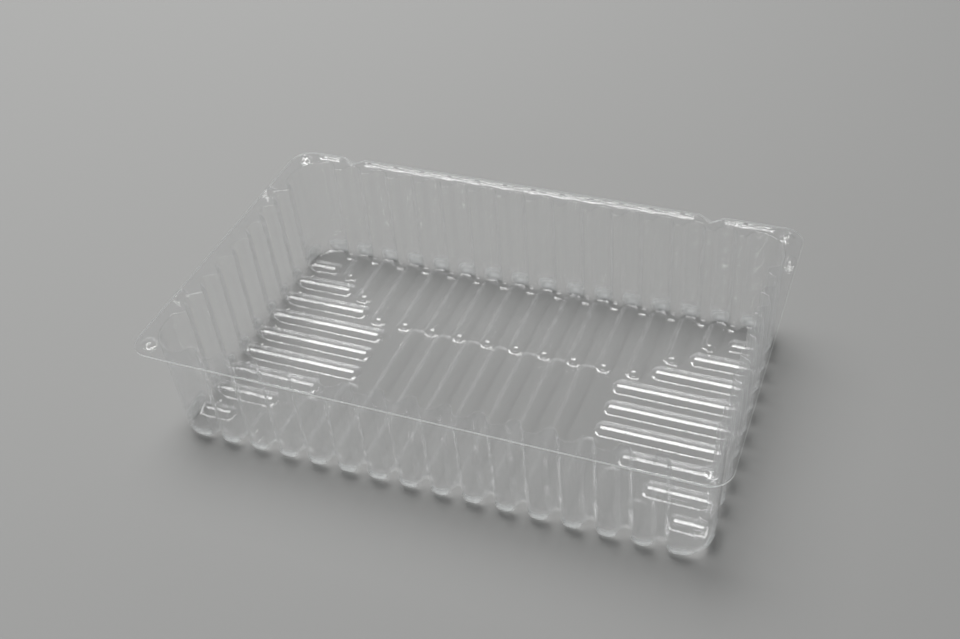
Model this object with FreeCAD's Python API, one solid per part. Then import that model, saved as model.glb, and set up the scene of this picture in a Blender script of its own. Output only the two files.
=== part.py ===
import FreeCAD, Part
import math
import os

# Clear thermoformed tray, drawn from one sheet. Millimetres, +Z up, X along the long side.
# The origin is on the standing surface, below the middle of the tray.
# The sheet has two skins: skin 0 is the underside and skin SHEET the upper side. Each is
# built from narrow flat facets and flat faces with holes, and the two are closed along the rim.

Vec = FreeCAD.Vector

# ---------------------------------------------------------------- driving dimensions

SHEET = 0.5               # thickness of the formed sheet
RIM_LENGTH = 187.0        # rim outside, along X
RIM_WIDTH = 116.0         # rim outside, along Y
RIM_CORNER = 7.0          # outside corner radius of the rim
HEIGHT = 40.0             # standing surface to top of rim
FLANGE = 4.2              # flat rim left outside an outward flute
DRAFT = 0.8               # how far each wall leans in from rim to base
BASE_ROUND = 2.0          # radius between wall and floor
BASE_TURNS = (0, 45, 90)  # degrees at which the outline is drawn round that radius
WALL_CORNER = 10.6        # corner radius of the wall at the rim
CORNER_STEPS = 5          # flat facets round a wall corner

LONG_TEETH = 15           # inward ribs in each long wall
LONG_MARGIN = 19.5        # end of the rim to the middle of the first of them
SHORT_TEETH = 8           # inward ribs in each short wall
SHORT_MARGIN = 23.0
TOOTH_DEPTH = 3.6         # how far an inward rib stands in from the flutes
TOOTH_TIP = 2.4           # width of its tip
TOOTH_MOUTH = 5.6         # width of its root
MOUTH_ROUND = 1.8         # easing at the root, underside skin
TIP_ROUND = 1.1           # easing at the tip, underside skin
TOOTH_STEPS = 1           # flat facets round a root or a tip

RIB_WIDTH = 6.2           # floor ribs, across the foot
RIB_HEIGHT = 1.5          # above the floor
RIB_SHARES = (1, 0.72, 0.36)   # parts of the width at which the domed side is drawn
RIB_GAP = 0.6             # least floor left between two ribs' round ends
WALL_GAP = 1.2            # floor left between a crossways rib and the foot of the wall
END_RIBS = 9              # lengthways ribs at each end of the floor
END_RIB_OUT = 9.1         # their outer end, from the rim's edge
END_RIB_IN = 4            # inner end of the middle three, in teeth from the middle
BACK_RIBS = 14            # crossways ribs behind, between the teeth of the back wall
FRONT_RIBS = 13           # crossways ribs in front, in line with the teeth
MEETING = 1.6             # where the two rows meet, in short wall teeth from the middle

ROUND_STEPS = 8           # flat facets round the two ends of a long raised shape
STUD_STEPS = 16           # flat facets round a stud
STUD_INSET = 5.2          # corner studs, in from both edges of the rim
STUD_RADIUS = 2.4
STUD_TOP_RADIUS = 1.6
STUD_HEIGHT = 1.6

LUG_LENGTH = 5.4          # spacing lugs on the short sides of the rim, along Y
LUG_WIDTH = 2.9
LUG_HEIGHT = 2.0
LUG_SLOPE = 0.5           # how far its sides lean in
LUG_INSET = 2.2           # lug centre in from the rim's edge
LUGS = ((-1, 3), (-1, -3), (1, 4), (1, -4))   # side, and which flute it stands outside

BEAD_WIDTH = 2.0          # raised bead along the back of the rim
BEAD_CREST = 0.8
BEAD_HEIGHT = 0.7
BEAD_INSET = 2.2          # bead centre in from the rim's edge

NOTCH_WIDTH = 8.4         # V-shaped dips in the back of the rim, at the edge
NOTCH_LENGTH = 3.7        # from the edge to the point of the dip
NOTCH_DEPTH = 2.2         # below the rim at the edge
NOTCH_LEFT = 23.0         # left end of the rim to the middle of one dip
NOTCH_RIGHT = 31.0        # right end of the rim to the middle of the other
NOTCH_CLEARANCE = 1.4     # rim left flat between a dip and a bead

NOTCHES = (NOTCH_LEFT - RIM_LENGTH / 2, RIM_LENGTH / 2 - NOTCH_RIGHT)
LONG_PITCH = (RIM_LENGTH - 2 * LONG_MARGIN) / (LONG_TEETH - 1)
SHORT_PITCH = (RIM_WIDTH - 2 * SHORT_MARGIN) / (SHORT_TEETH - 1)
ALONG_X, ALONG_Y = 0, 90  # turns about Z, in degrees
SIDES = (-1, 1)


# ---------------------------------------------------------------- outlines

def places(count, pitch):
    """Centres of a row of evenly spaced features about the middle."""
    return [(i - (count - 1) / 2) * pitch for i in range(count)]


def tooth_corners(half_side, other_half_side, count, pitch):
    """Corners of one wall seen from outside, left to right, as (along, out, kind).

    The kind is 1 at the root of an inward rib, -1 at its tip and 0 at a wall corner.
    """
    corners = []
    for centre in places(count, pitch):
        corners.append((centre - TOOTH_MOUTH / 2, half_side, 1))
        corners.append((centre - TOOTH_TIP / 2, half_side - TOOTH_DEPTH, -1))
        corners.append((centre + TOOTH_TIP / 2, half_side - TOOTH_DEPTH, -1))
        corners.append((centre + TOOTH_MOUTH / 2, half_side, 1))
    corners.append((other_half_side, half_side, 0))
    return corners


def wall_outline(half_x, half_y):
    """The fluted outline, anticlockwise from the front right, as (x, y, kind)."""
    short = tooth_corners(half_x, half_y, SHORT_TEETH, SHORT_PITCH)
    long = tooth_corners(half_y, half_x, LONG_TEETH, LONG_PITCH)
    outline = [(out, along, kind) for along, out, kind in short]
    outline += [(-along, out, kind) for along, out, kind in long[:-1]]
    outline += [(-half_x, half_y, 0)]
    outline += [(-out, -along, kind) for along, out, kind in short[:-1]]
    outline += [(-half_x, -half_y, 0)]
    outline += [(along, -out, kind) for along, out, kind in long]
    return outline


def inset(points, distance):
    """Corners of a closed anticlockwise polygon with every side moved in by a distance."""
    moved = []
    count = len(points)
    for i in range(count):
        ax, ay = points[i - 1]
        bx, by = points[i]
        cx, cy = points[(i + 1) % count]
        before = math.hypot(bx - ax, by - ay)
        after = math.hypot(cx - bx, cy - by)
        nx1, ny1 = (ay - by) / before, (bx - ax) / before
        nx2, ny2 = (by - cy) / after, (cx - bx) / after
        scale = distance / (1 + nx1 * nx2 + ny1 * ny2)
        moved.append((bx + scale * (nx1 + nx2), by + scale * (ny1 + ny2)))
    return moved


def eased_ring(points, radii, steps, z):
    """Points of a closed polygon whose corners are eased by short facets.

    Each corner is replaced by points on an arc tangent to both of its sides.
    """
    eased = []
    for i, (x, y) in enumerate(points):
        corner = Vec(x, y, z)
        before = (Vec(*points[i - 1], z) - corner).normalize()
        after = (Vec(*points[(i + 1) % len(points)], z) - corner).normalize()
        half = before.getAngle(after) / 2
        centre = corner + (before + after).normalize() * (radii[i] / math.sin(half))
        start = corner + before * (radii[i] / math.tan(half)) - centre
        sweep = math.copysign(math.pi - 2 * half, after.cross(before).z)
        for step in range(steps[i] + 1):
            turned = FreeCAD.Rotation(Vec(0, 0, 1), math.degrees(sweep * step / steps[i]))
            eased.append(centre + turned.multVec(start))
    return eased


def wall_ring(lean, z, skin):
    """The fluted outline of one skin at one height, leaning in from the rim."""
    outline = wall_outline(RIM_LENGTH / 2 - FLANGE - lean, RIM_WIDTH / 2 - FLANGE - lean)
    radius = {0: WALL_CORNER - lean - skin, 1: MOUTH_ROUND - skin, -1: TIP_ROUND + skin}
    steps = {0: CORNER_STEPS, 1: TOOTH_STEPS, -1: TOOTH_STEPS}
    kinds = [kind for _, _, kind in outline]
    points = [(x, y) for x, y, _ in outline]
    if skin:
        points = inset(points, skin)
    return eased_ring(points, [radius[k] for k in kinds], [steps[k] for k in kinds], z)


# ---------------------------------------------------------------- raised shapes

def long_ring(half_length, half_width, z, x, y, turn):
    """Points of a long outline with faceted round ends, lying along X or Y about x, y."""
    ring = []
    turned = FreeCAD.Rotation(Vec(0, 0, 1), turn)
    for end in SIDES:
        for step in range(ROUND_STEPS // 2 + 1):
            angle = 2 * math.pi * step / ROUND_STEPS - math.pi / 2
            along = half_length - half_width + half_width * math.cos(angle)
            point = Vec(end * along, end * half_width * math.sin(angle), z)
            ring.append(Vec(x, y, 0) + turned.multVec(point))
    return ring


def closed_wire(ring):
    """The closed wire through the points of a ring."""
    return Part.makePolygon(ring + ring[:1])


def sides(rings):
    """Flat faces between rings of as many points each, with sides parallel to each other."""
    faces = []
    for low, high in zip(rings, rings[1:]):
        for i in range(len(low)):
            faces.append(Part.Face(closed_wire([low[i - 1], low[i], high[i], high[i - 1]])))
    return faces


def raised(rings):
    """Skin of a raised shape: its sides through the rings, and a lid on the last."""
    return sides(rings) + [Part.Face(closed_wire(rings[-1]))]


def slim(skin, rise, run):
    """How much narrower the underside of a raised side is, so that the sheet stays even."""
    return 0 if skin else SHEET * math.tan(math.atan2(rise, run) / 2)


def floor_rib(start, end, at, turn, skin):
    """Outlines of a domed rib from foot to crest.

    It runs from start to end along X, or along Y if turned, at a place across.
    """
    top = 1 - RIB_SHARES[-1] ** 2
    thin = slim(skin, RIB_HEIGHT, RIB_WIDTH / 2)
    middle = (start + end) / 2
    x, y = (middle, at) if turn == ALONG_X else (at, middle)
    rings = []
    for share in RIB_SHARES:
        half_width = share * RIB_WIDTH / 2
        half_length = abs(end - start) / 2 - RIB_WIDTH / 2 + half_width
        rise = RIB_HEIGHT * (1 - share ** 2) / top
        rings.append(long_ring(half_length - thin, half_width - thin, skin + rise, x, y, turn))
    return rings


def end_ribs(skin):
    """Rings of the lengthways ribs at both ends; their inner ends step back from the middle."""
    ribs = []
    for y in places(END_RIBS, SHORT_PITCH):
        teeth = END_RIB_IN + max(round(abs(y) / SHORT_PITCH) - 1, 0)
        for side in SIDES:
            ends = (side * teeth * LONG_PITCH, side * (RIM_LENGTH / 2 - END_RIB_OUT))
            ribs.append(floor_rib(*ends, y, ALONG_X, skin))
    return ribs


def cross_ribs(skin):
    """Rings of the crossways ribs, those behind staggered against those in front.

    The outer ones stop short of the lengthways ribs. The middle ones run up to the meeting
    line, where their round ends interlock.
    """
    reach = math.sqrt((RIB_WIDTH + RIB_GAP) ** 2 - (LONG_PITCH / 2) ** 2)
    meeting = MEETING * SHORT_PITCH
    overlap = (RIB_WIDTH - reach) / 2
    flute_foot = RIM_WIDTH / 2 - FLANGE - DRAFT - BASE_ROUND
    ribs = []
    for x in places(BACK_RIBS, LONG_PITCH):
        steps = int(max(abs(x) / LONG_PITCH - END_RIB_IN, 0))
        start = meeting - overlap + steps * SHORT_PITCH
        ribs.append(floor_rib(start, flute_foot - WALL_GAP, x, ALONG_Y, skin))
    for x in places(FRONT_RIBS, LONG_PITCH):
        steps = round(abs(x) / LONG_PITCH) - END_RIB_IN
        start = meeting + overlap if steps < 0 else overlap - meeting - steps * SHORT_PITCH
        ribs.append(floor_rib(start, TOOTH_DEPTH - flute_foot + WALL_GAP, x, ALONG_Y, skin))
    return ribs


def stud_rings(side_x, side_y, skin):
    """A round button at a corner of the rim."""
    thin = slim(skin, STUD_HEIGHT, STUD_RADIUS - STUD_TOP_RADIUS)
    x = side_x * (RIM_LENGTH / 2 - STUD_INSET)
    y = side_y * (RIM_WIDTH / 2 - STUD_INSET)
    base = HEIGHT - SHEET + skin
    rings = []
    for radius, rise in ((STUD_RADIUS, 0), (STUD_TOP_RADIUS, STUD_HEIGHT)):
        ring = []
        for step in range(STUD_STEPS):
            angle = 2 * math.pi * step / STUD_STEPS
            spoke = Vec(math.cos(angle), math.sin(angle), 0) * (radius - thin)
            ring.append(Vec(x, y, base + rise) + spoke)
        rings.append(ring)
    return rings


def lug_rings(side, flute, skin):
    """A spacing lug on a short side of the rim, outside one of the flutes."""
    thin = slim(skin, LUG_HEIGHT, LUG_SLOPE)
    base = HEIGHT - SHEET + skin
    x = side * (RIM_LENGTH / 2 - LUG_INSET)
    rings = []
    for lean, rise in ((0, 0), (LUG_SLOPE, LUG_HEIGHT)):
        half_length = LUG_LENGTH / 2 - lean - thin
        half_width = LUG_WIDTH / 2 - lean - thin
        rings.append(long_ring(half_length, half_width, base + rise, x, flute * SHORT_PITCH, ALONG_Y))
    return rings


def bead_rings(x0, x1, skin):
    """A length of the raised bead along the back of the rim."""
    thin = slim(skin, BEAD_HEIGHT, (BEAD_WIDTH - BEAD_CREST) / 2)
    base = HEIGHT - SHEET + skin
    rings = []
    for width, rise in ((BEAD_WIDTH, 0), (BEAD_CREST, BEAD_HEIGHT)):
        lean = (BEAD_WIDTH - width) / 2
        half_length = (x1 - x0) / 2 - lean - thin
        y = RIM_WIDTH / 2 - BEAD_INSET
        rings.append(long_ring(half_length, width / 2 - thin, base + rise, (x0 + x1) / 2, y, ALONG_X))
    return rings


def rim_features(skin):
    """Rings of everything raised on the rim."""
    features = [stud_rings(x, y, skin) for x in SIDES for y in SIDES]
    features += [lug_rings(side, flute, skin) for side, flute in LUGS]
    half = RIM_LENGTH / 2 - STUD_INSET - STUD_RADIUS - NOTCH_CLEARANCE
    gap = NOTCH_WIDTH / 2 + NOTCH_CLEARANCE
    stops = [-half] + [at + side * gap for at in NOTCHES for side in SIDES] + [half]
    features += [bead_rings(a, b, skin) for a, b in zip(stops[::2], stops[1::2])]
    return features


# ---------------------------------------------------------------- rim

def rim_edges(z, dip):
    """Edges along the rim: the middle of each dip lies low, or in from the edge.

    With a dip the wire is the rim's real edge; without one it bounds the flat part.
    """
    half_x, half_y, r = RIM_LENGTH / 2, RIM_WIDTH / 2, RIM_CORNER
    bulge = r * (1 - math.sqrt(0.5))
    path = []
    for at in sorted(NOTCHES, reverse=True):
        low = Vec(at, half_y, z - NOTCH_DEPTH) if dip else Vec(at, half_y - NOTCH_LENGTH, z)
        path += [Vec(at + NOTCH_WIDTH / 2, half_y, z), low, Vec(at - NOTCH_WIDTH / 2, half_y, z)]
    turns = []
    for sx, sy in ((1, 1), (-1, 1), (-1, -1), (1, -1)):
        side = Vec(sx * half_x, sy * (half_y - r), z)
        end = Vec(sx * (half_x - r), sy * half_y, z)
        middle = Vec(sx * (half_x - bulge), sy * (half_y - bulge), z)
        turns.append((side, middle, end) if sx == sy else (end, middle, side))
    line = [turns[0][2]] + path + [turns[1][0]]
    edges = [Part.Arc(*turns[0]).toShape()]
    edges += [Part.LineSegment(a, b).toShape() for a, b in zip(line, line[1:])]
    for now, after in ((1, 2), (2, 3), (3, 0)):
        edges.append(Part.Arc(*turns[now]).toShape())
        edges.append(Part.LineSegment(turns[now][2], turns[after][0]).toShape())
    return edges


def notch_faces(z):
    """The two sloping sides of each dip in the rim."""
    faces = []
    half_y = RIM_WIDTH / 2
    for at in NOTCHES:
        low = Vec(at, half_y, z - NOTCH_DEPTH)
        point = Vec(at, half_y - NOTCH_LENGTH, z)
        for side in SIDES:
            mouth = Vec(at + side * NOTCH_WIDTH / 2, half_y, z)
            faces.append(Part.Face(Part.makePolygon([mouth, low, point, mouth])))
    return faces


# ---------------------------------------------------------------- the tray

def flat_with_shapes(outer, holes, shapes):
    """A flat face with holes and with raised shapes standing in further holes."""
    openings = holes + [closed_wire(rings[0]) for rings in shapes]
    faces = Part.makeFace([outer] + openings, "Part::FaceMakerBullseye").Faces
    for rings in shapes:
        faces += raised(rings)
    return faces


def skin_faces(skin):
    """All faces of one skin, from the floor to the edge of the rim."""
    bend = BASE_ROUND - skin
    top = HEIGHT - SHEET + skin
    walls = []
    for turn in BASE_TURNS:
        run = bend * (1 - math.sin(math.radians(turn)))
        rise = bend * (1 - math.cos(math.radians(turn)))
        walls.append(wall_ring(DRAFT + run, skin + rise, skin))
    walls.append(wall_ring(0, top, skin))
    faces = sides(walls)
    foot, mouth = closed_wire(walls[0]), closed_wire(walls[-1])
    faces += flat_with_shapes(foot, [], end_ribs(skin) + cross_ribs(skin))
    faces += flat_with_shapes(Part.Wire(rim_edges(top, False)), [mouth], rim_features(skin))
    return faces + notch_faces(top)


def rim_band():
    """The cut edge of the sheet, all round the rim."""
    low, high = rim_edges(HEIGHT - SHEET, True), rim_edges(HEIGHT, True)
    return [Part.makeRuledSurface(a, b) for a, b in zip(low, high)]


shell = Part.makeShell(skin_faces(0) + skin_faces(SHEET) + rim_band())
shell.sewShape()
tray = Part.makeSolid(shell)
if tray.Volume < 0:
    tray.reverse()
os.makedirs("parts", exist_ok=True)
tray.exportStep("parts/tray.step")
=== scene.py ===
import logging
import math
from collections.abc import Callable
from dataclasses import dataclass, field
from enum import Enum
from typing import Any

import bpy
import numpy as np
from mathutils import Matrix, Vector


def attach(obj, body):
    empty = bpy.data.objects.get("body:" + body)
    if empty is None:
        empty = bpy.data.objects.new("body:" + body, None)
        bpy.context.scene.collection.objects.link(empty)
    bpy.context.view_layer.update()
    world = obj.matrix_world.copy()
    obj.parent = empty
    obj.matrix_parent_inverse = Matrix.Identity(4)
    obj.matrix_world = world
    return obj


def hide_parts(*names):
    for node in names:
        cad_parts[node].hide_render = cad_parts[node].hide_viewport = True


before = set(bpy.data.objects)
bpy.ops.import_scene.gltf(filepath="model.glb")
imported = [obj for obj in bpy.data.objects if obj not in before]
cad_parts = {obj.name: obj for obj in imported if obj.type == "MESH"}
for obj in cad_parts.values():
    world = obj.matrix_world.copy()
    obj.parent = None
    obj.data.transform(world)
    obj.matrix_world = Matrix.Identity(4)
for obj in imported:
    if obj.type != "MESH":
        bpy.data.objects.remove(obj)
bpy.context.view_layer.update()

MM = 0.001
RIM = (187.0, 116.0)     # length and width over the rim, mm
PITCH = (10.57, 10.0)    # spacing of flutes and ribs along the long and the short walls, mm
TOUCH = 1e-6             # slack for a point on the edge of a corner, mm
LOG = logging.getLogger("tray")

Array = np.ndarray


# ---------------------------------------------------------------- nodes and colours

def linear(hex_colour: str) -> tuple[float, float, float, float]:
    """Turns an sRGB hex colour into linear RGBA.

    Args:
        hex_colour: six hex digits after a hash.

    Returns:
        Linear red, green, blue and an alpha of 1.
    """
    parts = [int(hex_colour[i:i + 2], 16) / 255 for i in (1, 3, 5)]
    r, g, b = [c / 12.92 if c <= 0.04045 else ((c + 0.055) / 1.055) ** 2.4 for c in parts]
    return (r, g, b, 1.0)


def add_node(tree: bpy.types.NodeTree, kind: str, settings: dict[str, Any] | None = None,
             values: dict[Any, Any] | None = None, links: dict[Any, Any] | None = None) -> bpy.types.Node:
    """Adds one node.

    Args:
        tree: the node tree.
        kind: the node's type name.
        settings: properties of the node.
        values: input name or number to constant.
        links: input name or number to the output socket that feeds it.

    Returns:
        The node.
    """
    node = tree.nodes.new(kind)
    for name, value in (settings or {}).items():
        setattr(node, name, value)
    for name, value in (values or {}).items():
        node.inputs[name].default_value = value
    for name, socket in (links or {}).items():
        tree.links.new(socket, node.inputs[name])
    return node


def blank_material(name: str) -> tuple[bpy.types.Material, bpy.types.NodeTree, bpy.types.Node]:
    """Makes a material with only an output node.

    Args:
        name: the material's name.

    Returns:
        The material, its tree and the output node.
    """
    material = bpy.data.materials.new(name)
    material.use_nodes = True
    tree = material.node_tree
    tree.nodes.clear()
    return material, tree, tree.nodes.new("ShaderNodeOutputMaterial")


# ---------------------------------------------------------------- finishes

@dataclass(frozen=True)
class ClearSheet:
    """Thermoformed clear APET sheet, seen as a thin glossy film.

    It is colourless and shows what is behind it unbent, with a mirror film on each skin
    that strengthens towards grazing. A trace of haze whitens it where the sheet is seen
    edge on, in the flutes' flanks and round the bends. A paler haze is painted on the
    flutes' feet as painted light, standing in for soft light patches there. Its sizes are in mm.

    Attributes:
        cloud_mm, cloud, cloud_detail: size, strength and layers of the haze's unevenness.
        through: share of the haze's light that goes on through the sheet.
        painted_foot_light, painted_light_top: pale haze added at the feet as painted light patches, and the
            height where it has faded.
        painted_light_inside, painted_light_width: where the painted light starts along X and Y, and how wide
        it fades in.
    """

    name: str = "clear_apet_sheet"
    ior: float = 1.57
    roughness: float = 0.035
    tint: str = "#FEFEFE"
    haze_colour: str = "#F2F4F4"
    haze: float = 0.03
    edge_haze: float = 0.34
    haze_power: float = 3.0
    mirror_power: float = 5.0
    cloud_mm: float = 9.0
    cloud: float = 0.35
    cloud_detail: float = 3.0
    through: float = 0.6
    # painted light: a pale haze laid by place on the flutes' feet, standing in for soft light patches there
    painted_foot_light: float = 0.75
    painted_light_top: float = 6.5
    painted_light_inside: tuple[float, float] = (86.0, 50.3)
    painted_light_width: float = 2.0

    def make(self) -> bpy.types.Material:
        """Builds the material.

        The mirror share follows Schlick: f0 + (1 - f0) * (1 - cos)^5, the same from both
        sides. The haze share is haze + edge_haze * (1 - cos)^3 plus the painted light at the
        feet, a little uneven in clouds a few millimetres across.

        Returns:
            The material.
        """
        material, tree, output = blank_material(self.name)
        normal_share = ((self.ior - 1) / (self.ior + 1)) ** 2
        facing = add_node(tree, "ShaderNodeLayerWeight", values={"Blend": 0.5})
        power = add_node(tree, "ShaderNodeMath", {"operation": "POWER"}, {1: self.mirror_power},
                         {0: facing.outputs["Facing"]})
        share = add_node(tree, "ShaderNodeMath", {"operation": "MULTIPLY_ADD"},
                         {1: 1 - normal_share, 2: normal_share}, {0: power.outputs[0]})
        edge = add_node(tree, "ShaderNodeMath", {"operation": "POWER"}, {1: self.haze_power},
                        {0: facing.outputs["Facing"]})
        haze = add_node(tree, "ShaderNodeMath", {"operation": "MULTIPLY_ADD"},
                        {1: self.edge_haze, 2: self.haze}, {0: edge.outputs[0]})
        place = add_node(tree, "ShaderNodeTexCoord")
        clouds = add_node(tree, "ShaderNodeTexNoise",
                          values={"Scale": 1 / (self.cloud_mm * MM), "Detail": self.cloud_detail},
                          links={"Vector": place.outputs["Object"]})
        uneven = add_node(tree, "ShaderNodeMapRange",
                          values={"To Min": 1 - self.cloud, "To Max": 1 + self.cloud},
                          links={"Value": clouds.outputs[0]})
        # painted light at the flutes' feet: a pale patch of haze masked by height and by place
        foot_light_mask = self.painted_foot_light_mask(tree, place)
        both = add_node(tree, "ShaderNodeMath", {"operation": "MULTIPLY_ADD"}, {1: self.painted_foot_light},
                        {0: foot_light_mask.outputs[0], 2: haze.outputs[0]})
        cover = add_node(tree, "ShaderNodeMath", {"operation": "MULTIPLY", "use_clamp": True},
                         links={0: both.outputs[0], 1: uneven.outputs[0]})
        see = add_node(tree, "ShaderNodeBsdfTransparent", values={"Color": linear(self.tint)})
        back = add_node(tree, "ShaderNodeBsdfDiffuse", values={"Color": linear(self.haze_colour)})
        onward = add_node(tree, "ShaderNodeBsdfTranslucent", values={"Color": linear(self.haze_colour)})
        milk = add_node(tree, "ShaderNodeMixShader", values={0: self.through},
                        links={1: back.outputs[0], 2: onward.outputs[0]})
        body = add_node(tree, "ShaderNodeMixShader",
                        links={0: cover.outputs[0], 1: see.outputs[0], 2: milk.outputs[0]})
        shine = add_node(tree, "ShaderNodeBsdfGlossy",
                         values={"Color": linear("#FFFFFF"), "Roughness": self.roughness})
        mix = add_node(tree, "ShaderNodeMixShader",
                       links={0: share.outputs[0], 1: body.outputs[0], 2: shine.outputs[0]})
        tree.links.new(mix.outputs[0], output.inputs["Surface"])
        return material

    def painted_foot_light_mask(self, tree: bpy.types.NodeTree, place: bpy.types.Node) -> bpy.types.Node:
        """Share from 0 to 1 of the pale haze painted at the flutes' feet as painted light.

        It falls smoothly with height, and rises smoothly outwards past the foot of the
        inward ribs on either axis, whichever gives more.

        Args:
            tree: the material's tree.
            place: its texture coordinates.

        Returns:
            The node whose first output is the share.
        """
        axes = add_node(tree, "ShaderNodeSeparateXYZ", links={"Vector": place.outputs["Object"]})
        low = add_node(tree, "ShaderNodeMapRange", {"interpolation_type": "SMOOTHSTEP"},
                       {"From Min": self.painted_light_top * MM, "From Max": 0.0}, {"Value": axes.outputs["Z"]})
        sides = []
        for axis, inside in zip("XY", self.painted_light_inside):
            size = add_node(tree, "ShaderNodeMath", {"operation": "ABSOLUTE"}, links={0: axes.outputs[axis]})
            sides.append(add_node(tree, "ShaderNodeMapRange", {"interpolation_type": "SMOOTHSTEP"},
                                  {"From Min": inside * MM, "From Max": (inside + self.painted_light_width) * MM},
                                  {"Value": size.outputs[0]}))
        outer = add_node(tree, "ShaderNodeMath", {"operation": "MAXIMUM"},
                         links={0: sides[0].outputs[0], 1: sides[1].outputs[0]})
        return add_node(tree, "ShaderNodeMath", {"operation": "MULTIPLY"},
                        links={0: outer.outputs[0], 1: low.outputs[0]})


@dataclass(frozen=True)
class CutEdge:
    """The knife-cut edge of the sheet: faintly frosted, so it catches light as a pale line.

    Attributes:
        cover: share of the frost over the clear plastic.
        through: share of the frost's light that goes on through the edge.
    """

    name: str = "cut_edge_apet"
    frost: str = "#F6F8F8"
    cover: float = 0.85
    through: float = 0.6

    def make(self) -> bpy.types.Material:
        """Builds the material: a pale scattering layer over a see-through one.

        Returns:
            The material.
        """
        material, tree, output = blank_material(self.name)
        see = add_node(tree, "ShaderNodeBsdfTransparent")
        frost = add_node(tree, "ShaderNodeBsdfDiffuse", values={"Color": linear(self.frost)})
        glow = add_node(tree, "ShaderNodeBsdfTranslucent", values={"Color": linear(self.frost)})
        both = add_node(tree, "ShaderNodeMixShader", values={0: self.through},
                        links={1: frost.outputs[0], 2: glow.outputs[0]})
        mix = add_node(tree, "ShaderNodeMixShader", values={0: self.cover},
                       links={1: see.outputs[0], 2: both.outputs[0]})
        tree.links.new(mix.outputs[0], output.inputs["Surface"])
        return material


# ---------------------------------------------------------------- outlines

@dataclass(frozen=True)
class WallShape:
    """The fluted wall: a rounded polygon that leans in as it goes down. Sizes in mm.

    Attributes:
        draft: how far the wall leans in from the rim to the foot.
        base_round: outer radius of the bend at the foot.
        corner: radius of the tray's corners at the rim.
        tooth_depth, tooth_tip, tooth_mouth: an inward rib's depth, and its width at tip and mouth.
        mouth_round, tip_round: radii of its corners.
        arc_steps, corner_steps: steps of a rib's arc and of a tray corner's arc.
    """

    rim_length: float = RIM[0]
    rim_width: float = RIM[1]
    flange: float = 4.2
    height: float = 40.0
    draft: float = 0.8
    base_round: float = 3.2
    corner: float = 10.6
    long_teeth: int = 15
    long_pitch: float = PITCH[0]
    short_teeth: int = 8
    short_pitch: float = PITCH[1]
    tooth_depth: float = 3.6
    tooth_tip: float = 2.4
    tooth_mouth: float = 5.6
    mouth_round: float = 2.8
    tip_round: float = 1.3
    arc_steps: int = 4
    corner_steps: int = 32

    def side_corners(self, out: float, count: int, pitch: float) -> Array:
        """Corners of one wall's teeth. Each tooth is a trapezium: mouth, tip, tip, mouth.

        Args:
            out: how far the wall stands from the middle.
            count: its teeth.
            pitch: their spacing.

        Returns:
            Rows of along, out and radius, the radius below zero at a tooth's tip.
        """
        mouth, tip = self.tooth_mouth, self.tooth_tip
        every = np.ones((count, 1))
        centres = (np.arange(count) - (count - 1) / 2) * pitch
        along = centres[:, None] + np.array([-mouth, -tip, tip, mouth]) / 2
        depth = out - np.array([0, self.tooth_depth, self.tooth_depth, 0]) * every
        radius = np.array([self.mouth_round, -self.tip_round, -self.tip_round, self.mouth_round]) * every
        return np.stack([along, depth, radius], -1).reshape(-1, 3)

    def polygon(self, lean: float) -> tuple[Array, Array, Array]:
        """The whole outline at one lean, anticlockwise from the front right.

        The four walls' teeth are turned a quarter each, with a tray corner after each wall.

        Args:
            lean: how far each wall stands in from its place at the rim.

        Returns:
            Corner points, signed radii, and how many steps each corner's arc takes.
        """
        half_x = self.rim_length / 2 - self.flange - lean
        half_y = self.rim_width / 2 - self.flange - lean
        short = self.side_corners(half_x, self.short_teeth, self.short_pitch)
        long = self.side_corners(half_y, self.long_teeth, self.long_pitch)
        turn = self.corner - lean
        rows = []
        for side, (corners, end) in enumerate(((short, half_y), (long, half_x)) * 2):
            along, out, radius = np.vstack([corners, [end, corners[0, 1], turn]]).T
            a = side * math.pi / 2
            rows.append(np.stack([math.cos(a) * out - math.sin(a) * along,
                                  math.sin(a) * out + math.cos(a) * along, radius], 1))
        table = np.vstack(rows)
        steps = np.full(len(table), self.arc_steps)
        ends = np.cumsum([len(r) for r in rows]) - 1
        steps[ends] = self.corner_steps
        return table[:, :2], table[:, 2], steps

    def outline(self, lean: float, inset: float) -> tuple[Array, Array]:
        """Samples the rounded outline.

        Every corner is replaced by an arc tangent to both sides, sampled evenly in angle
        with both ends, and the middle of the straight run after it.

        Args:
            lean: how far each wall stands in from its place at the rim.
            inset: how far the skin lies inside the underside skin.

        Returns:
            Points and the directions pointing into the tray.
        """
        corner, radius, steps = self.polygon(lean)
        before = np.roll(corner, 1, 0) - corner
        after = np.roll(corner, -1, 0) - corner
        before /= np.linalg.norm(before, axis=1)[:, None]
        after /= np.linalg.norm(after, axis=1)[:, None]
        sign = np.sign(radius)
        half = np.arccos(np.clip((before * after).sum(1), -1, 1)) / 2
        bisector = (before + after) / np.linalg.norm(before + after, axis=1)[:, None]
        centre = corner + bisector * (np.abs(radius) / np.sin(half))[:, None]
        sweep = math.pi - 2 * half
        start = np.arctan2(-bisector[:, 1], -bisector[:, 0]) - sign * sweep / 2
        index = np.repeat(np.arange(len(corner)), steps + 1)
        first = np.repeat(np.cumsum(steps + 1) - steps - 1, steps + 1)
        share = (np.arange(len(index)) - first) / steps[index]
        angle = start[index] + sign[index] * sweep[index] * share
        spoke = np.stack([np.cos(angle), np.sin(angle)], 1)
        inward = -spoke * sign[index][:, None]
        reach = np.abs(radius[index]) - inset * sign[index]
        points = centre[index] + spoke * reach[:, None]
        last = np.cumsum(steps + 1) - 1
        middle = (points[last] + np.roll(points, -1, 0)[last]) / 2
        return np.insert(points, last + 1, middle, 0), np.insert(inward, last + 1, inward[last], 0)


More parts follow.
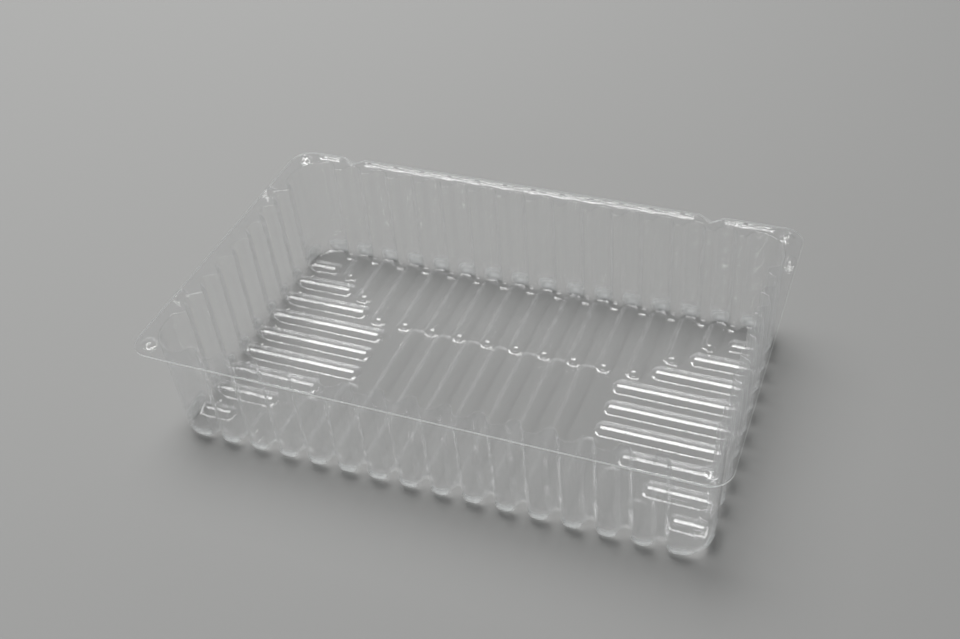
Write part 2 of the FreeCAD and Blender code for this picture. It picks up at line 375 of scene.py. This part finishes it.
@dataclass(frozen=True)
class FloorRibs:
    """Raised hollow ribs with rounded ends, as a height over the floor. Sizes in mm.

    The end ribs run lengthways in rows, whose inner ends step out by one column per row.
    The back and the front ribs run crossways in columns. The two groups stand half a pitch
    off each other, so that each reaches a little way between the other's ends. From column
    end_in outwards each further column is one row shorter, to clear the end ribs.

    Attributes:
        rise, foot, foot_round: height, width at the foot, and the foot's hollow radius.
        end_out, back_out, front_out: where the three groups end towards the walls.
        end_sharpness: how much faster a rib falls past its end than beside it.
        end_in: columns from the middle to the inner ends of the longest end ribs.
        meeting, overlap: where the crossways groups meet, and how far each reaches past that line.
    """

    rise: float = 1.5
    foot: float = 6.6
    foot_round: float = 0.5
    pitch_x: float = PITCH[0]
    pitch_y: float = PITCH[1]
    end_out: float = 87.2
    end_sharpness: float = 1.5
    end_in: int = 4
    end_count: int = 9
    back_count: int = 14
    back_out: float = 49.8
    front_count: int = 13
    front_out: float = 54.0
    meeting: float = 16.0
    overlap: float = 0.9

    def bump(self, across: Array, beyond: Array) -> Array:
        """Height of one rib: a round crest that meets the floor in a hollow round foot.

        The distance is across the rib beside it; past its end it grows end_sharpness times faster.
        With half foot width w, the sides lean at most 2 atan(rise / w); the crest's and the
        foot's radii add up to w / sin(lean).

        Args:
            across: distance from the rib's middle line.
            beyond: distance past the rib's end, below zero beside the rib.

        Returns:
            Height over the floor.
        """
        half = self.foot / 2
        lean = 2 * math.atan(self.rise / half)
        crest = half / math.sin(lean) - self.foot_round
        past = np.maximum(beyond + half / self.end_sharpness, 0) * self.end_sharpness
        distance = np.hypot(across, past)
        turn = crest * math.sin(lean)
        top = self.rise - crest + np.sqrt(np.maximum(crest ** 2 - np.minimum(distance, turn) ** 2, 0))
        away = np.clip(half - distance, 0, half - turn)
        low = self.foot_round - np.sqrt(self.foot_round ** 2 - away ** 2)
        return np.where(distance < turn, top, low)

    def height(self, x: Array, y: Array) -> Array:
        """Height over the flat floor: each point takes its nearest rib of each group.

        Args:
            x: places lengthways.
            y: places crossways.

        Returns:
            The heights.
        """
        row = np.clip(np.round(y / self.pitch_y), -(self.end_count // 2), self.end_count // 2)
        inner = (self.end_in + np.maximum(np.abs(row) - 1, 0)) * self.pitch_x
        beyond = np.maximum(np.abs(x) - self.end_out, inner - np.abs(x))
        total = self.bump(y - row * self.pitch_y, beyond)
        limit = self.back_count / 2 - 0.5
        column = np.clip(np.round(x / self.pitch_x - 0.5) + 0.5, -limit, limit)
        step = np.maximum(np.floor(np.abs(column) - self.end_in), 0) * self.pitch_y
        start = self.meeting - self.overlap + step
        total += self.bump(x - column * self.pitch_x, np.maximum(start - y, y - self.back_out))
        limit = self.front_count // 2
        column = np.clip(np.round(x / self.pitch_x), -limit, limit)
        step = np.abs(column) - self.end_in
        start = np.where(step < 0, self.meeting + self.overlap,
                         self.overlap - self.meeting - step * self.pitch_y)
        total += self.bump(x - column * self.pitch_x, np.maximum(y - start, -self.front_out - y))
        return total


@dataclass(frozen=True)
class RimRelief:
    """What stands up from or dips below the flat rim. Sizes in mm.

    Attributes:
        stud_inset, stud_radius, stud_top: a round stud's place from both edges, and its radii.
        lug_inset, lug_half, lug_slope: a block nub's place, half sizes, and width of its flanks.
        lugs: side and place along the short walls of each nub.
        bead_inset, bead_half, bead_ramp: the back bead's place, half width, and length of its ends.
        notches: places of the two V dips along the back rim.
        notch_half, notch_length: half their width at the edge, and how far they reach in.
        gap: flat rim left between the bead and what stands beside it.
    """

    length: float = RIM[0]
    width: float = RIM[1]
    corner: float = 7.0
    stud_inset: float = 5.2
    stud_radius: float = 2.4
    stud_top: float = 1.5
    stud_rise: float = 1.6
    lug_inset: float = 2.2
    lug_half: tuple[float, float] = (1.45, 2.7)
    lug_rise: float = 2.0
    lug_slope: float = 0.9
    lugs: tuple[tuple[int, float], ...] = ((-1, 30.0), (-1, -30.0), (1, 40.0), (1, -40.0))
    bead_inset: float = 2.2
    bead_half: float = 1.0
    bead_rise: float = 0.7
    bead_ramp: float = 1.0
    notches: tuple[float, ...] = (-70.5, 62.5)
    notch_half: float = 4.2
    notch_length: float = 3.7
    notch_depth: float = 2.2
    gap: float = 1.4

    @staticmethod
    def smooth(t: Array) -> Array:
        """Smooth step from 0 to 1 over t from 0 to 1."""
        t = np.clip(t, 0, 1)
        return t * t * (3 - 2 * t)

    def height(self, x: Array, y: Array) -> Array:
        """Height over the flat rim: round studs, block nubs, a long bead and V dips.

        Each rises in a smooth step over its flank; a dip falls evenly to a V.

        Args:
            x: places lengthways.
            y: places crossways.

        Returns:
            The heights.
        """
        far = np.hypot(np.abs(x) - self.length / 2 + self.stud_inset,
                       np.abs(y) - self.width / 2 + self.stud_inset)
        total = self.stud_rise * self.smooth((self.stud_radius - far) / (self.stud_radius - self.stud_top))
        for side, place in self.lugs:
            away_x = self.lug_half[0] - np.abs(x - side * (self.length / 2 - self.lug_inset))
            away_y = self.lug_half[1] - np.abs(y - place)
            total += self.lug_rise * self.smooth(np.minimum(away_x, away_y) / self.lug_slope)
        across = np.abs(y - self.width / 2 + self.bead_inset)
        bead = self.bead_rise * self.smooth((self.bead_half - across) / self.bead_half)
        room = self.length / 2 - self.stud_inset - self.stud_radius - self.gap - np.abs(x)
        bead = bead * self.smooth(room / self.bead_ramp)
        for place in self.notches:
            room = np.abs(x - place) - self.notch_half - self.gap + self.bead_ramp
            bead = bead * self.smooth(room / self.bead_ramp)
            inside = 1 - np.abs(x - place) / self.notch_half - (self.width / 2 - y) / self.notch_length
            total -= self.notch_depth * np.clip(inside, 0, 1)
        return total + bead

    def edge(self, points: Array, wall: WallShape) -> Array:
        """Places on the rim's outside edge that belong to points of the wall's outline.

        Beside the walls a point goes straight out. Round a corner the outline's arc is
        spread evenly over the two straights and the arc of the rim.

        Args:
            points: outline at the rim, in its own order.
            wall: the wall, for the centre of its corner arcs.

        Returns:
            Points on the edge.
        """
        half = np.array([self.length / 2, self.width / 2])
        centre = half - wall.flange - wall.corner
        sign = np.where(points < 0, -1.0, 1.0)
        local = np.abs(points)
        round_part = (local > centre - TOUCH).all(1)
        beside_x = (half - local)[:, 0] < (half - local)[:, 1]
        out = local.copy()
        out[beside_x, 0] = half[0]
        out[~beside_x, 1] = half[1]
        angle = np.arctan2(local[:, 1] - centre[1], local[:, 0] - centre[0])
        straight = half - self.corner - centre
        total = straight.sum() + self.corner * math.pi / 2
        walk = np.clip(angle / (math.pi / 2), 0, 1) * total
        turn = np.clip((walk - straight[1]) / self.corner, 0, math.pi / 2)
        past = np.clip(walk - straight[1] - self.corner * math.pi / 2, 0, None)
        arc = half - self.corner + self.corner * np.stack([np.cos(turn), np.sin(turn)], 1)
        arc[:, 1] -= np.clip(straight[1] - walk, 0, None)
        arc[:, 0] -= past
        out[round_part] = arc[round_part]
        return out * sign


# ---------------------------------------------------------------- skins

def unit(vectors: Array) -> Array:
    """Rows scaled to length 1."""
    return vectors / np.linalg.norm(vectors, axis=1)[:, None]


def slope_normals(height: Callable[[Array, Array], Array], flat: Array, probe: float) -> Array:
    """Unit normals of a height: minus its slopes along X and Y, and one upwards.

    Args:
        height: the height at given places.
        flat: the places, one row each.
        probe: how far to either side the slope is measured.

    Returns:
        One unit normal per place.
    """
    x, y = flat.T
    slope_x = (height(x + probe, y) - height(x - probe, y)) / (2 * probe)
    slope_y = (height(x, y + probe) - height(x, y - probe)) / (2 * probe)
    return unit(np.stack([-slope_x, -slope_y, np.ones(len(x))], 1))


def ring_quads(inner: Array, outer: Array) -> Array:
    """Quads between two closed rings of the same count, anticlockwise seen from above.

    Args:
        inner: indices of the inner ring, anticlockwise.
        outer: indices of the ring outside it.

    Returns:
        One quad per step.
    """
    return np.stack([inner, outer, np.roll(outer, -1), np.roll(inner, -1)], 1)


@dataclass
class Skin:
    """Points, unit normals and faces of one skin, gathered ring by ring from the middle outwards."""

    points: list[Array] = field(default_factory=list)
    normals: list[Array] = field(default_factory=list)
    quads: list[Array] = field(default_factory=list)
    triangles: list[Array] = field(default_factory=list)
    ring: Array = field(default_factory=lambda: np.zeros(0, int))
    count: int = 0

    def add(self, points: Array, normals: Array) -> Array:
        """Adds points.

        Args:
            points: their places.
            normals: their unit normals.

        Returns:
            Their indices.
        """
        self.points.append(points)
        self.normals.append(normals)
        self.count += len(points)
        return np.arange(self.count - len(points), self.count)

    def add_ring(self, points: Array, normals: Array) -> None:
        """Adds a closed ring and joins it to the last one by quads.

        Args:
            points: the ring, with as many points as the last one.
            normals: their unit normals.
        """
        ring = self.add(points, normals)
        self.quads.append(ring_quads(self.ring, ring))
        self.ring = ring

    def add_finer_ring(self, points: Array, normals: Array) -> None:
        """Adds a closed ring with two steps for each one of the last ring, joined by triangles.

        Args:
            points: the ring, with twice as many points as the last one.
            normals: their unit normals.
        """
        ring, last, ahead = self.add(points, normals), self.ring, np.roll(self.ring, -1)
        even, odd, following = ring[::2], ring[1::2], np.roll(ring[::2], -1)
        self.triangles += [np.stack(corners, 1) for corners in
                           ((last, even, odd), (last, odd, ahead), (ahead, odd, following))]
        self.ring = ring


# ---------------------------------------------------------------- the tray

class Zone(Enum):
    """Which finish a face takes."""

    SHEET = 0
    CUT_EDGE = 1


@dataclass
class Tray:
    """The whole tray as one closed sheet: floor, walls, fillets, rim and cut edge. Sizes in mm.

    Attributes:
        sheet: the sheet's thickness.
        rim_round: radius of the fillet from the wall on to the rim.
        core_half: half sizes of the grid in the middle of the floor.
        floor_rings, bend_steps, fillet_steps, rim_rings: rings in each zone.
        probe: how far to either side a slope is measured.
    """

    wall: WallShape = field(default_factory=WallShape)
    ribs: FloorRibs = field(default_factory=FloorRibs)
    relief: RimRelief = field(default_factory=RimRelief)
    sheet_finish: ClearSheet = field(default_factory=ClearSheet)
    edge_finish: CutEdge = field(default_factory=CutEdge)
    sheet: float = 0.5
    rim_round: float = 0.35
    core_half: tuple[float, float] = (80.4, 44.9)
    floor_rings: int = 7
    bend_steps: int = 4
    fillet_steps: int = 2
    rim_rings: int = 8
    probe: float = 0.02

    @property
    def lead(self) -> int:
        """Steps of the floor's border from a corner of the grid to the first tooth."""
        return self.wall.corner_steps // 4 + 1

    def core_lines(self, half: float, count: int, pitch: float) -> Array:
        """Grid lines across the floor: evenly spaced between the outer teeth, then to the core's edge.

        Args:
            half: where the core ends.
            count: teeth along that wall.
            pitch: their spacing.

        Returns:
            Increasing places, symmetric about 0.
        """
        # a tooth's four arcs give 4 * (arc_steps + 2) points, and the floor takes every second one
        per_tooth = 2 * (self.wall.arc_steps + 2)
        inside = (count - 1) * per_tooth
        inner = (np.arange(inside) - (inside - 1) / 2) * pitch / per_tooth
        outer_count = per_tooth // 2 + self.lead
        outer = np.linspace(inner[-1], half, outer_count + 1)[1:]
        return np.concatenate([-outer[::-1], inner, outer])

    def on_floor(self, flat: Array) -> tuple[Array, Array]:
        """Points on the floor's upper skin and their unit normals."""
        return (np.column_stack([flat, self.sheet + self.ribs.height(*flat.T)]),
                slope_normals(self.ribs.height, flat, self.probe))

    def on_rim(self, flat: Array) -> tuple[Array, Array]:
        """Points on the rim's upper skin and their unit normals."""
        return (np.column_stack([flat, self.wall.height + self.relief.height(*flat.T)]),
                slope_normals(self.relief.height, flat, self.probe))

    def add_floor(self, skin: Skin, foot: Array) -> None:
        """Adds the floor: a grid in the middle, then straight blends to the foot of the wall.

        The grid's border starts where the wall's outline starts, at the front right's first
        tooth. The foot itself has two steps for each one of the floor's rings.

        Args:
            skin: what it is added to.
            foot: the outline at the foot of the wall.
        """
        wall = self.wall
        xs = self.core_lines(self.core_half[0], wall.long_teeth, wall.long_pitch)
        ys = self.core_lines(self.core_half[1], wall.short_teeth, wall.short_pitch)
        grid = np.stack(np.meshgrid(xs, ys, indexing="ij"), -1).reshape(-1, 2)
        index = skin.add(*self.on_floor(grid)).reshape(len(xs), len(ys))
        skin.quads.append(np.stack([index[:-1, :-1], index[1:, :-1], index[1:, 1:], index[:-1, 1:]],
                                   -1).reshape(-1, 4))
        border = np.concatenate([index[-1, :-1], index[::-1, -1][:-1], index[0, ::-1][:-1], index[:-1, 0]])
        skin.ring = np.roll(border, -self.lead)
        start, end = grid[skin.ring], foot[::2]
        assert len(start) == len(end), (len(start), len(end))
        for ring in range(1, self.floor_rings):
            skin.add_ring(*self.on_floor(start + (end - start) * ring / self.floor_rings))
        skin.add_finer_ring(*self.on_floor(foot))

    def add_wall(self, skin: Skin, foot: Array, inward: Array, foot_lean: float) -> None:
        """Adds the bend and the wall: the outline leans out as an arc, then straight up.

        The ribs' height at the foot fades evenly up the wall. The normal turns from upwards
        to inwards with the arc, and follows the outline's own slide as it leans.

        Args:
            skin: what it is added to.
            foot: the outline at the foot of the wall.
            inward: its directions into the tray.
            foot_lean: how far it stands in from its place at the rim.
        """
        wall, base = self.wall, self.sheet
        rise = self.ribs.height(*foot.T)
        slide = ((wall.outline(foot_lean + 1, self.sheet)[0] - foot) * inward).sum(1)
        bend = wall.base_round - self.sheet
        steep = math.atan2(wall.height - wall.base_round, wall.draft)
        levels = [(wall.draft + bend * (1 - math.sin(angle)), base + bend * (1 - math.cos(angle)),
                   min(angle, steep)) for angle in np.linspace(0, math.pi / 2, self.bend_steps + 1)[1:]]
        levels.append((0.0, wall.height - self.rim_round, steep))
        for lean, z, angle in levels:
            flat, inward = wall.outline(lean, self.sheet)
            left = (wall.height - z) / (wall.height - base)
            skin.add_ring(np.column_stack([flat, z + rise * left]),
                          unit(np.column_stack([inward * math.sin(angle), slide * math.cos(angle)])))

    def add_rim(self, skin: Skin) -> None:
        """Adds a quarter circle out and over, then straight blends to the edge with the relief.

        Args:
            skin: what it is added to.
        """
        flat, inward = self.wall.outline(0.0, self.sheet)
        for angle in np.linspace(math.pi / 2, 0, self.fillet_steps + 1)[1:]:
            ring = flat - inward * (self.rim_round * (1 - math.sin(angle)))
            z = self.wall.height - self.rim_round * (1 - math.cos(angle))
            up = np.full(len(ring), math.cos(angle))
            skin.add_ring(np.column_stack([ring, np.full(len(ring), z)]),
                          unit(np.column_stack([inward * math.sin(angle), up])))
        start = flat - inward * self.rim_round
        edge = self.relief.edge(flat, self.wall)
        for ring in range(1, self.rim_rings + 1):
            skin.add_ring(*self.on_rim(start + (edge - start) * ring / self.rim_rings))

    def upper_skin(self) -> Skin:
        """Builds the upper skin from the middle of the floor outwards.

        Returns:
            The skin. Its last ring is the rim's edge.
        """
        skin = Skin()
        foot_lean = self.wall.draft + self.wall.base_round - self.sheet
        foot, inward = self.wall.outline(foot_lean, self.sheet)
        self.add_floor(skin, foot)
        self.add_wall(skin, foot, inward, foot_lean)
        self.add_rim(skin)
        return skin

    def build(self) -> bpy.types.Object:
        """Builds both skins and the cut edge as one closed mesh.

        The underside is the upper skin moved against its normals by the sheet's thickness,
        with its faces turned over. A band of quads round the rim joins the two.

        Returns:
            The tray's object.
        """
        skin = self.upper_skin()
        upper, normal = np.concatenate(skin.points), np.concatenate(skin.normals)
        quads, triangles = np.concatenate(skin.quads), np.concatenate(skin.triangles)
        count = len(upper)
        points = np.concatenate([upper, upper - normal * self.sheet]) * MM
        band = ring_quads(skin.ring, skin.ring + count)
        all_quads = np.concatenate([quads, quads[:, ::-1] + count, band])
        all_triangles = np.concatenate([triangles, triangles[:, ::-1] + count])
        loops = np.concatenate([all_quads.ravel(), all_triangles.ravel()]).astype(np.int32)
        sizes = np.repeat(np.array([4, 3], np.int32), [len(all_quads), len(all_triangles)])
        zones = np.full(len(sizes), Zone.SHEET.value, np.int32)
        first_band = 2 * len(quads)
        zones[first_band:first_band + len(band)] = Zone.CUT_EDGE.value
        mesh = bpy.data.meshes.new("tray_sheet")
        mesh.vertices.add(len(points))
        mesh.vertices.foreach_set("co", points.astype(np.float32).ravel())
        mesh.loops.add(len(loops))
        mesh.loops.foreach_set("vertex_index", loops)
        mesh.polygons.add(len(sizes))
        mesh.polygons.foreach_set("loop_start", (np.cumsum(sizes) - sizes).astype(np.int32))
        mesh.polygons.foreach_set("loop_total", sizes)
        mesh.polygons.foreach_set("material_index", zones)
        mesh.polygons.foreach_set("use_smooth", zones == Zone.SHEET.value)
        mesh.materials.append(self.sheet_finish.make())
        mesh.materials.append(self.edge_finish.make())
        mesh.update(calc_edges=True)
        mesh.validate()
        corner_normals = np.concatenate([normal, -normal])[loops]
        corner_normals[np.repeat(zones, sizes) == Zone.CUT_EDGE.value] = 0
        mesh.normals_split_custom_set(corner_normals.astype(np.float32))
        piece = bpy.data.objects.new("tray_sheet", mesh)
        bpy.context.scene.collection.objects.link(piece)
        LOG.info("tray_sheet: %d points, %d triangles", len(points), int((sizes - 2).sum()))
        return piece


# ---------------------------------------------------------------- the studio

@dataclass(frozen=True)
class Softbox:
    """One rectangular lamp, hung level and then tilted about X by degrees. Metres."""

    name: str
    place: tuple[float, float, float]
    size: tuple[float, float]
    tilt: float
    radiance: float

    def build(self) -> None:
        """Adds the lamp. Its power is radiance times area times pi."""
        lamp = bpy.data.lights.new(self.name, "AREA")
        lamp.shape = "RECTANGLE"
        lamp.size, lamp.size_y = self.size
        lamp.energy = self.radiance * self.size[0] * self.size[1] * math.pi
        holder = bpy.data.objects.new(self.name, lamp)
        holder.location = self.place
        holder.rotation_euler = (math.radians(self.tilt), 0.0, 0.0)
        holder.visible_camera = False
        bpy.context.scene.collection.objects.link(holder)


@dataclass
class Studio:
    """Plain pale floor, soft lamps and the camera.

    Attributes:
        floor_half: half the floor's side, in metres.
        floor_gap: how far the floor lies below the tray, in mm.
        world_colour, world_strength: the dim even light from all round.
        backdrop_colour: what the camera sees past the floor.
        camera_place: the camera's place, in mm; its angles are in degrees.
        lens, film: focal length and sensor width, in mm.
        nearest: the nearest distance that the camera sees, in metres.
        clear_layers, bounces, mirrors: how many layers of the sheet, turns and mirrorings a ray takes.
    """

    floor_colour: str = "#9C9C9B"
    floor_roughness: float = 0.7
    floor_specular: float = 0.15
    floor_half: float = 1.0
    floor_gap: float = 0.03
    world_colour: str = "#909191"
    world_strength: float = 0.42
    backdrop_colour: str = "#BBBBBB"
    camera_place: tuple[float, float, float] = (123.7, -266.4, 282.0)
    camera_azimuth: float = 24.8
    camera_elevation: float = 40.93
    camera_roll: float = -5.54
    lens: float = 45.02
    film: float = 36.0
    nearest: float = 0.01
    clear_layers: int = 48
    bounces: int = 16
    mirrors: int = 8
    boxes: tuple[Softbox, ...] = (
        Softbox("softbox_above", (-0.42, 0.37, 1.20), (0.94, 0.74), 0.0, 8.4),
        Softbox("panel_behind", (-0.46, 1.60, 0.42), (1.60, 0.84), -90.0, 1.1),
        Softbox("softbox_front", (-0.34, -1.20, 0.48), (1.00, 0.40), 68.0, 3.8),
    )

    def floor(self) -> None:
        """A wide plain floor, a hair below the tray so that their faces don't coincide."""
        material, tree, output = blank_material("studio_paper")
        shade = add_node(tree, "ShaderNodeBsdfPrincipled",
                         values={"Base Color": linear(self.floor_colour), "Roughness": self.floor_roughness,
                                 "Specular IOR Level": self.floor_specular})
        tree.links.new(shade.outputs[0], output.inputs["Surface"])
        mesh = bpy.data.meshes.new("studio_floor")
        r = self.floor_half
        mesh.from_pydata([(-r, -r, 0), (r, -r, 0), (r, r, 0), (-r, r, 0)], [], [(0, 1, 2, 3)])
        mesh.materials.append(material)
        floor = bpy.data.objects.new("studio_floor", mesh)
        floor.location.z = -self.floor_gap * MM
        bpy.context.scene.collection.objects.link(floor)

    def world(self) -> None:
        """Dim even surroundings; the camera sees the backdrop's pale colour."""
        world = bpy.data.worlds.new("studio")
        bpy.context.scene.world = world
        world.use_nodes = True
        tree = world.node_tree
        tree.nodes.clear()
        dim = add_node(tree, "ShaderNodeBackground",
                       values={"Color": linear(self.world_colour), "Strength": self.world_strength})
        pale = add_node(tree, "ShaderNodeBackground",
                        values={"Color": linear(self.backdrop_colour), "Strength": 1.0})
        path = add_node(tree, "ShaderNodeLightPath")
        mix = add_node(tree, "ShaderNodeMixShader",
                       links={0: path.outputs["Is Camera Ray"], 1: dim.outputs[0], 2: pale.outputs[0]})
        add_node(tree, "ShaderNodeOutputWorld", links={"Surface": mix.outputs[0]})

    def camera(self) -> None:
        """The camera, turned by azimuth, elevation and roll."""
        lens = bpy.data.cameras.new("camera")
        lens.lens = self.lens
        lens.sensor_width = self.film
        lens.clip_start = self.nearest
        holder = bpy.data.objects.new("camera", lens)
        holder.location = Vector(self.camera_place) * MM
        turn = Matrix.Rotation(math.radians(self.camera_azimuth), 4, "Z")
        tilt = Matrix.Rotation(math.radians(90 - self.camera_elevation), 4, "X")
        roll = Matrix.Rotation(math.radians(self.camera_roll), 4, "Z")
        holder.rotation_euler = (turn @ tilt @ roll).to_euler()
        bpy.context.scene.collection.objects.link(holder)
        bpy.context.scene.camera = holder

    def build(self) -> None:
        """Adds everything and sets how light is carried through the clear sheet."""
        scene = bpy.context.scene
        scene.view_settings.view_transform = "Standard"
        scene.cycles.transparent_max_bounces = self.clear_layers
        scene.cycles.max_bounces = self.bounces
        scene.cycles.glossy_bounces = self.mirrors
        self.floor()
        self.world()
        self.camera()
        for box in self.boxes:
            box.build()
        LOG.info("studio: floor, world, camera and %d lamps", len(self.boxes))


# ---------------------------------------------------------------- putting it together

def main() -> None:
    """Builds the studio and the tray."""
    logging.basicConfig(level=logging.INFO, format="%(message)s")
    Studio().build()
    piece = Tray().build()
    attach(piece, "root")
    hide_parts("tray")


if __name__ == "__main__":
    main()
